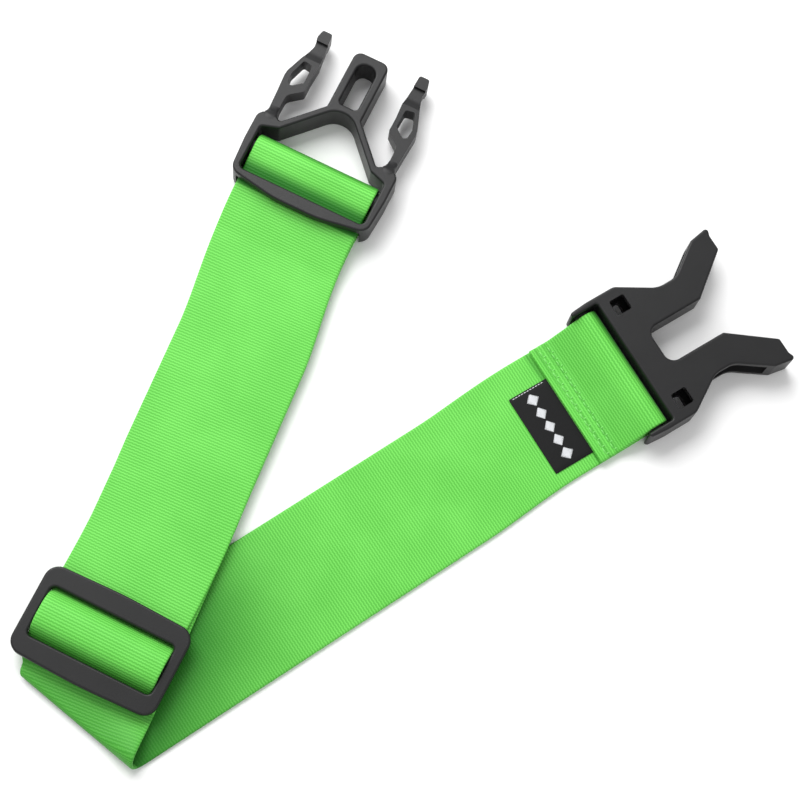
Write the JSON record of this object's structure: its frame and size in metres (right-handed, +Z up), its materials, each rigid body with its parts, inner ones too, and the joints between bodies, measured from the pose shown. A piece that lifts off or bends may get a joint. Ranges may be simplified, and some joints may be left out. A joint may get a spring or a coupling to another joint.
{
  "type": "luggage strap",
  "caption": "Adjustable luggage strap of flat webbing laid down in a V, with a slider and both halves of a side release buckle.",
  "frame": {"origin": "middle of the strap's outline on the surface that it lies on", "axes": "+X along the lower leg towards the socket half, +Z up from the surface"},
  "size_m": [0.3032, 0.2062, 0.013],
  "materials": {
    "webbing": "ribbed woven webbing",
    "moulded_plastic": "satin black moulding",
    "label_tape": "black woven tape",
    "green_thread": "polyester thread",
    "pale_thread": "polyester thread"
  },
  "bodies": {
    "root": {"webbing_lower_leg": "webbing", "webbing_fold": "webbing", "webbing_bottom_run": "webbing", "label": "label_tape", "hem_stitches": "green_thread", "label_stitches": "pale_thread"},
    "slider": {"slider_frame": "moulded_plastic", "webbing_slider_wave": "webbing", "webbing_sewn_end": "webbing"},
    "plug_carriage": {"webbing_top_run": "webbing"},
    "plug_half": {"male_frame": "moulded_plastic", "webbing_male_loop": "webbing"},
    "arm_left": {"latch_arm_left": "moulded_plastic"},
    "arm_right": {"latch_arm_right": "moulded_plastic"},
    "socket_half": {"female_shell": "moulded_plastic"}
  },
  "joints": [
    {"name": "slider_slide", "type": "slide", "parent": "root", "child": "slider", "axis": [0.8276, 0.5614, 0], "range_m": [0, 0.18], "deforming": ["webbing_top_run"]},
    {"name": "plug_slide", "type": "slide", "parent": "root", "child": "plug_carriage", "axis": [0.8276, 0.5614, 0], "range_m": [0, 0.09], "deforming": ["webbing_top_run", "webbing_bottom_run"]},
    {"name": "plug_lift", "type": "hinge", "parent": "plug_carriage", "child": "plug_half", "pos_m": [0.00447, 0.03565, 0.00385], "axis": [0.5098, -0.8603, 0], "range_deg": [0, 90], "deforming": ["webbing_male_loop", "webbing_top_run", "webbing_bottom_run"]},
    {"name": "arm_left_flex", "type": "hinge", "parent": "plug_half", "child": "arm_left", "pos_m": [0.03703, 0.08389, 0.0065], "axis": [0, 0, -1], "range_deg": [0, 9], "stiffness_Nm_per_rad": 0.5},
    {"name": "arm_right_flex", "type": "hinge", "parent": "plug_half", "child": "arm_right", "pos_m": [0.06242, 0.04104, 0.0065], "axis": [0, 0, 1], "range_deg": [0, 9], "stiffness_Nm_per_rad": 0.5},
    {"name": "socket_lift", "type": "hinge", "parent": "root", "child": "socket_half", "pos_m": [0.09225, -0.07103, 0.0065], "axis": [-0.0375, -0.9993, 0], "range_deg": [0, 95]}
  ],
  "couplings": [
    {"joint": "plug_slide", "follows": "slider_slide", "ratio": 0.5}
  ]
}
